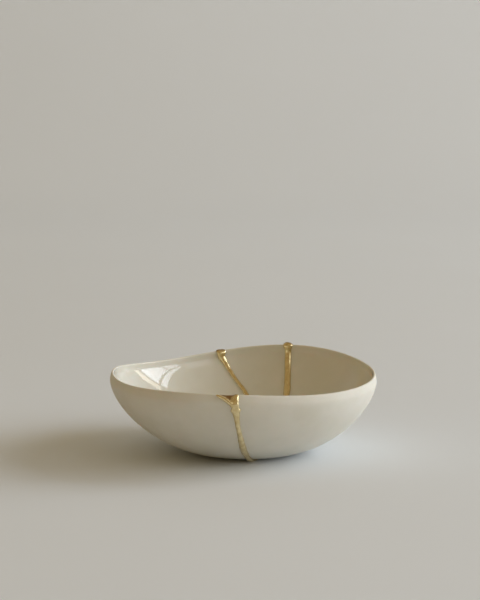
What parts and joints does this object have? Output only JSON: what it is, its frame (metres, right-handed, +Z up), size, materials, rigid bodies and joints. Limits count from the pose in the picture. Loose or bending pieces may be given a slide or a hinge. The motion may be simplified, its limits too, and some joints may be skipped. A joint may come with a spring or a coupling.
{
  "type": "tea bowl",
  "caption": "Shallow free-form porcelain tea bowl, glazed inside and matt outside, mended with raised gold seams after breaking into shards.",
  "frame": {"origin": "centre of the flat foot, on the table", "axes": "+Z up, -Y towards the front with the forked seam, +X to the right seen from the front"},
  "size_m": [0.1188, 0.128, 0.0399],
  "materials": {
    "porcelain": "glossy glaze inside, matt unglazed outside",
    "gold": "satin gold powder on lacquer"
  },
  "bodies": {
    "root": {"shard_left": "porcelain", "shard_back": "porcelain", "shard_right": "porcelain", "gold_seam": "gold"}
  },
  "joints": []
}
